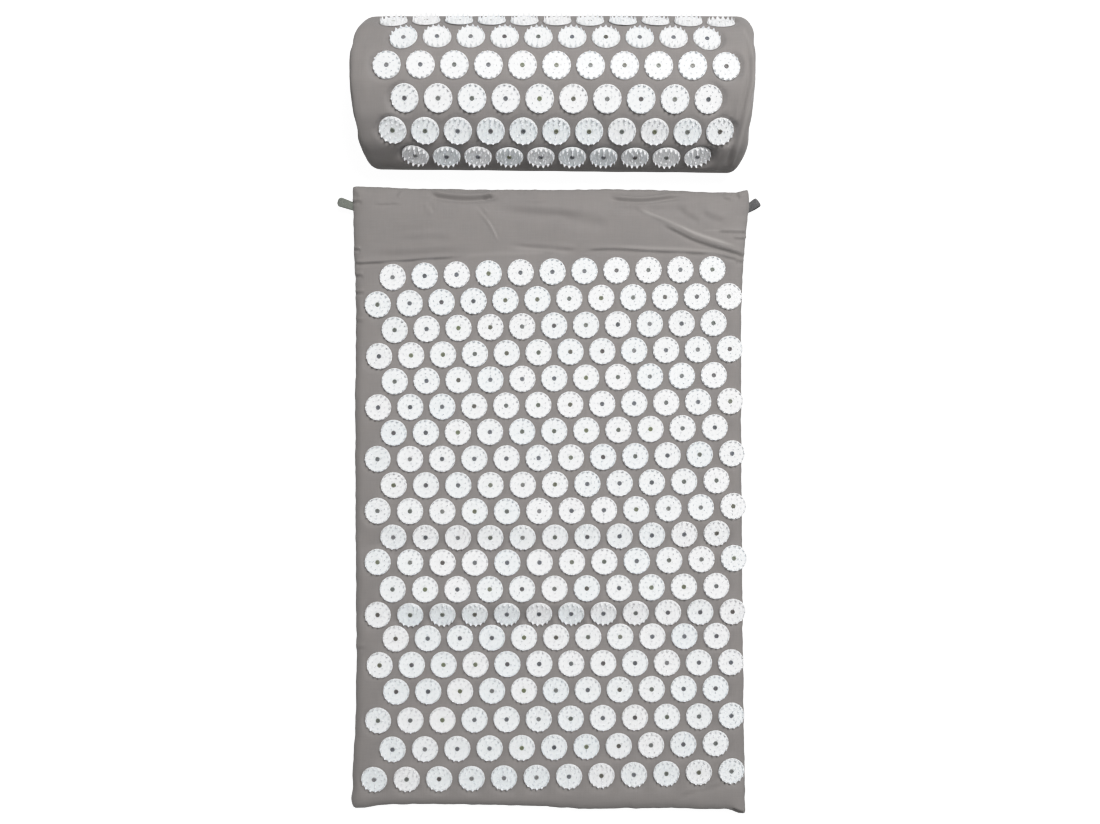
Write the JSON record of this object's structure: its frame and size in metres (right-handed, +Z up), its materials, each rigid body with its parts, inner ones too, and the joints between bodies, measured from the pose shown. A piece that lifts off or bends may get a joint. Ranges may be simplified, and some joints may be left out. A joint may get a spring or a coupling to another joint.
{
  "type": "acupressure mat",
  "caption": "Flat cloth-covered foam mat with rows of spiked plastic discs, side ribbon loops, and a matching half-round neck pillow behind its head end.",
  "frame": {"origin": "middle of the mat's flat underside, on the surface that the mat and the pillow lie on", "axes": "+Y from the mat's foot to its head and on to the pillow, +Z up out of the spiked face, +X to the right of someone looking from the foot to the head"},
  "size_m": [0.4526, 0.8437, 0.104],
  "materials": {
    "cover_fabric": "matte",
    "foam": "matte",
    "hook_tape": "matte",
    "loop_tape": "matte",
    "green_ribbon": "matte",
    "charcoal_ribbon": "matte",
    "disc_plastic": "satin",
    "rivet_plastic": "satin"
  },
  "bodies": {
    "mat": {"mat_top_panel": "cover_fabric", "mat_back_panel": "cover_fabric", "mat_back_head_panel": "cover_fabric", "mat_foam_pad": "foam", "mat_hook_tape": "hook_tape", "mat_loop_tape": "loop_tape", "spike_disc_01": "disc_plastic", "spike_disc_02": "disc_plastic", "spike_disc_03": "disc_plastic", "spike_disc_04": "disc_plastic", "spike_disc_05": "disc_plastic", "spike_disc_06": "disc_plastic", "spike_disc_07": "disc_plastic", "spike_disc_08": "disc_plastic", "spike_disc_09": "disc_plastic", "spike_disc_10": "disc_plastic", "spike_disc_11": "disc_plastic", "disc_rivet_01": "rivet_plastic", "disc_rivet_02": "rivet_plastic", "disc_rivet_03": "rivet_plastic", "disc_rivet_04": "rivet_plastic", "disc_rivet_05": "rivet_plastic", "disc_rivet_06": "rivet_plastic", "disc_rivet_07": "rivet_plastic", "disc_rivet_08": "rivet_plastic", "disc_rivet_09": "rivet_plastic", "disc_rivet_10": "rivet_plastic", "disc_rivet_11": "rivet_plastic"},
    "left_loop": {"left_side_loop": "green_ribbon"},
    "right_loop": {"right_side_loop": "charcoal_ribbon"},
    "pillow": {"pillow_top_panel": "cover_fabric", "pillow_base_panel": "cover_fabric", "pillow_end_panel_left": "cover_fabric", "pillow_end_panel_right": "cover_fabric", "pillow_foam_core": "foam", "pillow_hook_tape": "hook_tape", "pillow_loop_tape": "loop_tape"}
  },
  "joints": [
    {"name": "left_loop_bend", "type": "hinge", "parent": "mat", "child": "left_loop", "pos_m": [-0.21135, 0.314, 0.01], "axis": [0, 1, 0], "range_deg": [-25, 75], "stiffness_Nm_per_rad": 0.002},
    {"name": "right_loop_bend", "type": "hinge", "parent": "mat", "child": "right_loop", "pos_m": [0.21135, 0.314, 0.01], "axis": [0, 1, 0], "range_deg": [-75, 25], "stiffness_Nm_per_rad": 0.002},
    {"name": "pillow_lift", "type": "slide", "parent": "mat", "child": "pillow", "axis": [0, 0, 1], "range_m": [0, 0.25]}
  ]
}
